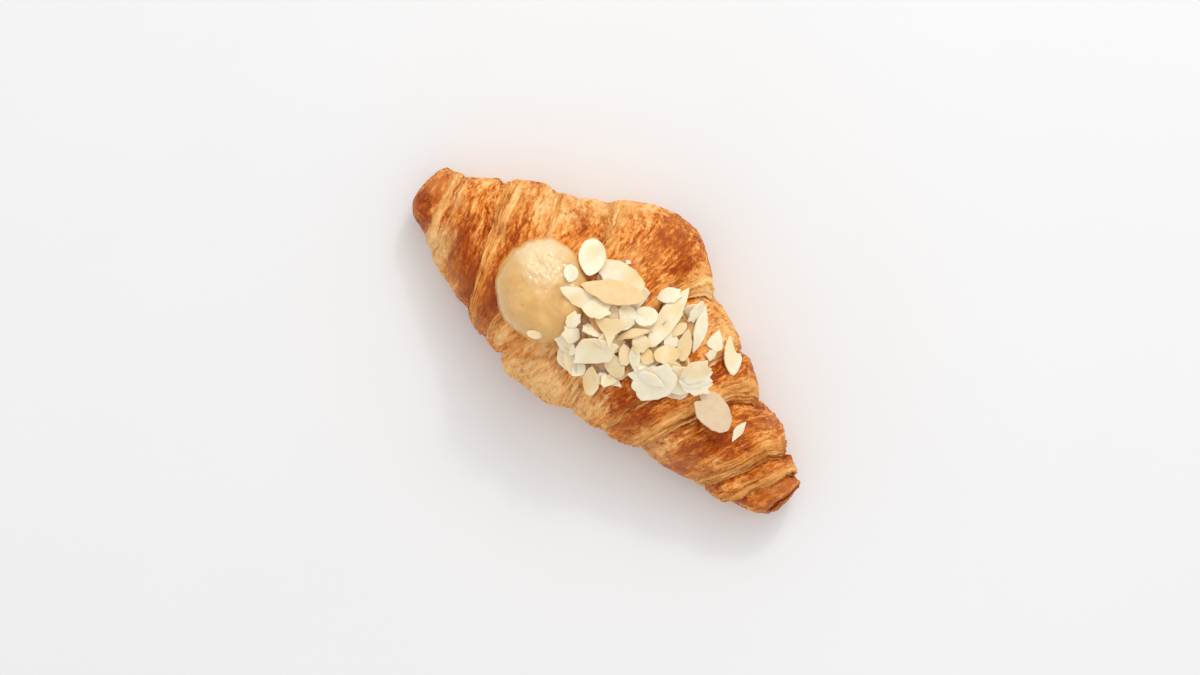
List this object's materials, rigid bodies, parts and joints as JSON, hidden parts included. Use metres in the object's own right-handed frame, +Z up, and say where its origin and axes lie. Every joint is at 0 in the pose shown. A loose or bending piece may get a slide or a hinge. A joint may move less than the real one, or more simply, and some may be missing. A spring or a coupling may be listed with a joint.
{
  "type": "almond croissant",
  "caption": "Baked, rolled croissant lying flat, topped with a scoop of almond cream and a heap of flaked almonds.",
  "frame": {"origin": "on the resting surface, below the middle of the whole pastry's box", "axes": "+X along the roll towards the tip with the open end, +Y towards the far side with the large dark turn, +Z up"},
  "size_m": [0.1704, 0.0814, 0.0577],
  "materials": {
    "crust": "egg-washed golden brown crust, glossy on the crests and dry where the layers show",
    "cream": "soft, moist almond cream",
    "almond": "pale blanched almond, satin"
  },
  "bodies": {
    "root": {"croissant": "crust", "almond_cream": "cream", "almond_heap": "almond", "almond_on_cream_edge": "almond", "almond_chip_on_cream": "almond", "almond_round_lone": "almond", "almond_shard_lone": "almond", "almond_bitten": "almond", "almond_fan": "almond", "almond_chip": "almond"}
  },
  "joints": []
}
